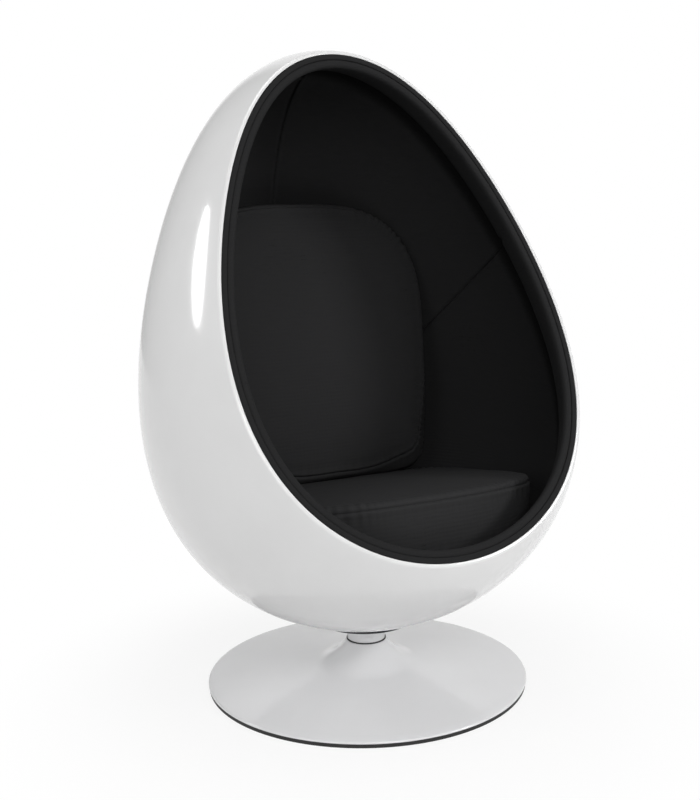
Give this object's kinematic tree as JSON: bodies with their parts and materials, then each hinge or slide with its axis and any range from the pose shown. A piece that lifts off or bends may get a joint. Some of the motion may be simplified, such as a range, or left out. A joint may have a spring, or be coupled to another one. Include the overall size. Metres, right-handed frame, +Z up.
{
  "type": "pod chair",
  "caption": "Ovoid pod chair: leaning gloss shell with a padded cavity, loose seat and back cushions, and a swivel on a round trumpet base.",
  "frame": {"origin": "on the floor at the swivel axis, which is the centre of the floor ring's underside", "axes": "+Z up along the swivel axis, -Y the way the chair faces, +X to the sitter's left"},
  "size_m": [0.86, 0.8235, 1.2646],
  "materials": {
    "shell_white": "gloss",
    "base_white": "gloss",
    "ring_rubber": "matte",
    "plate_steel": "satin",
    "column_steel": "satin",
    "bolt_steel": "satin",
    "bearing_steel": "polished",
    "cage_brass": "satin",
    "bush_nylon": "satin",
    "block_wood": "matte",
    "base_foam": "matte",
    "lining_cloth": "matte",
    "rim_cloth": "matte",
    "cushion_cloth": "matte"
  },
  "bodies": {
    "base": {"floor_ring": "ring_rubber", "floor_plate": "plate_steel", "base_cover": "base_white", "column": "column_steel", "column_bolts": "bolt_steel", "lower_bush": "bush_nylon", "upper_bush": "bush_nylon", "seal_ring": "ring_rubber", "lower_race": "bearing_steel"},
    "bearing_cage": {"ball_cage": "cage_brass", "bearing_balls": "bearing_steel"},
    "pod": {"upper_race": "bearing_steel", "spindle": "bolt_steel", "thrust_washer": "bolt_steel", "retaining_ring": "bolt_steel", "swivel_hub": "base_white", "shell": "shell_white", "mounting_block": "block_wood", "clamp_plate": "plate_steel", "hub_bolts": "bolt_steel", "bolt_washers": "bolt_steel", "seat_base": "base_foam", "lining_hood": "lining_cloth", "lining_left": "lining_cloth", "lining_right": "lining_cloth", "rim_roll": "rim_cloth", "rim_welt": "rim_cloth", "seat_cushion": "cushion_cloth", "back_cushion": "cushion_cloth"}
  },
  "joints": [
    {"name": "swivel", "type": "hinge", "parent": "base", "child": "pod", "pos_m": [0, 0, 0.091], "axis": [0, 0, 1], "continuous": true},
    {"name": "cage_roll", "type": "hinge", "parent": "base", "child": "bearing_cage", "pos_m": [0, 0, 0.091], "axis": [0, 0, 1], "continuous": true}
  ],
  "couplings": [
    {"joint": "cage_roll", "follows": "swivel", "ratio": 0.5}
  ]
}
